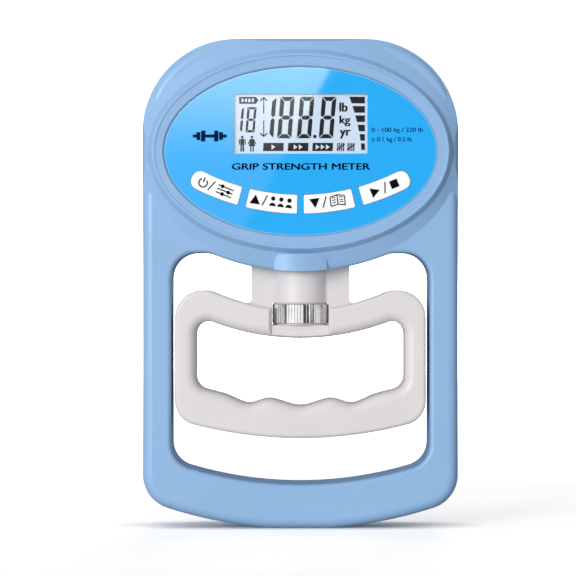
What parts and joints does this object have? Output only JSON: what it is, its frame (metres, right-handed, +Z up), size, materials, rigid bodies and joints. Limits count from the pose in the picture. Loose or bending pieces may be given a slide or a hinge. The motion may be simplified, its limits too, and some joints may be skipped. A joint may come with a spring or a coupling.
{
  "type": "hand dynamometer",
  "caption": "Electronic grip strength meter: a frame with an oval display head and a handle on a force sensor, set to hand size with a knob.",
  "frame": {"origin": "middle of the flat foot, half way through the depth", "axes": "+X to the right seen from the display side, +Y to the back, +Z up; the display faces -Y"},
  "size_m": [0.124, 0.031, 0.1923],
  "materials": {
    "case_blue": "moulded ABS, satin",
    "label": "printed film",
    "panel_blue": "printed under a glossy film",
    "window": "clear",
    "lcd": "liquid crystal cell on a white reflector",
    "inner_plastic": "moulded",
    "zebra": "soft",
    "board": "glass fibre laminate with solder mask",
    "chip": "moulded",
    "plated_steel": "zinc plated",
    "screw_steel": "bright",
    "cell_aluminium": "milled",
    "gauge": "film",
    "battery": "sleeved steel can",
    "contact": "nickel plated",
    "lead_red": "insulated",
    "lead_black": "insulated",
    "cable_grey": "insulated",
    "handle_white": "moulded ABS, satin",
    "acetal": "low friction",
    "knob_chrome": "ribbed, polished",
    "key_white": "printed"
  },
  "bodies": {
    "housing": {"front_shell": "case_blue", "rear_shell": "case_blue", "rear_label": "label", "case_screws": "screw_steel", "display_panel": "panel_blue", "lcd_window": "window", "lcd_glass": "lcd", "lcd_holder": "inner_plastic", "zebra_strips": "zebra", "main_board": "board", "main_chip": "chip", "board_components": "chip", "board_screws": "screw_steel", "switch_power": "inner_plastic", "switch_up": "inner_plastic", "switch_down": "inner_plastic", "switch_start": "inner_plastic", "load_bracket": "plated_steel", "bracket_screws": "screw_steel", "load_cell": "cell_aluminium", "strain_gauges": "gauge", "beam_spacers": "plated_steel", "beam_screws": "screw_steel", "battery_lower": "battery", "battery_upper": "battery", "battery_contacts": "contact", "battery_springs": "contact", "battery_lead_red": "lead_red", "battery_lead_black": "lead_black", "load_cell_cable": "cable_grey"},
    "pull": {"pull_tube": "plated_steel", "tube_washer": "plated_steel", "tube_nut": "plated_steel"},
    "handle": {"handle_front": "handle_white", "handle_rear": "handle_white", "handle_screws": "screw_steel", "upper_thrust_washer": "acetal", "lower_thrust_washer": "acetal"},
    "knob": {"adjuster_knob": "knob_chrome", "lead_screw": "screw_steel", "knob_pin": "screw_steel"},
    "battery_door": {"battery_door": "case_blue"},
    "key_power": {"key_power": "key_white", "plunger_power": "inner_plastic"},
    "key_up": {"key_up": "key_white", "plunger_up": "inner_plastic"},
    "key_down": {"key_down": "key_white", "plunger_down": "inner_plastic"},
    "key_start": {"key_start": "key_white", "plunger_start": "inner_plastic"}
  },
  "joints": [
    {"name": "grip_pull", "type": "slide", "parent": "housing", "child": "pull", "axis": [0, 0, -1], "range_m": [0, 0.0005], "stiffness_N_per_m": 30000, "deforming": ["load_cell"]},
    {"name": "handle_adjust", "type": "slide", "parent": "pull", "child": "handle", "axis": [0, 0, 1], "range_m": [-0.009, 0.012]},
    {"name": "knob_turn", "type": "hinge", "parent": "handle", "child": "knob", "pos_m": [0, 0.0015, 0.0842], "axis": [0, 0, 1], "range_deg": [-1630, 2170]},
    {"name": "battery_door_swing", "type": "hinge", "parent": "housing", "child": "battery_door", "pos_m": [0, 0.0155, 0.1542], "axis": [-1, 0, 0], "range_deg": [0, 75]},
    {"name": "press_power", "type": "slide", "parent": "housing", "child": "key_power", "axis": [0, 1, 0], "range_m": [0, 0.0003], "stiffness_N_per_m": 2000},
    {"name": "press_up", "type": "slide", "parent": "housing", "child": "key_up", "axis": [0, 1, 0], "range_m": [0, 0.0003], "stiffness_N_per_m": 2000},
    {"name": "press_down", "type": "slide", "parent": "housing", "child": "key_down", "axis": [0, 1, 0], "range_m": [0, 0.0003], "stiffness_N_per_m": 2000},
    {"name": "press_start", "type": "slide", "parent": "housing", "child": "key_start", "axis": [0, 1, 0], "range_m": [0, 0.0003], "stiffness_N_per_m": 2000}
  ],
  "couplings": [
    {"joint": "knob_turn", "follows": "handle_adjust", "rad_per_m": 3141.6}
  ]
}
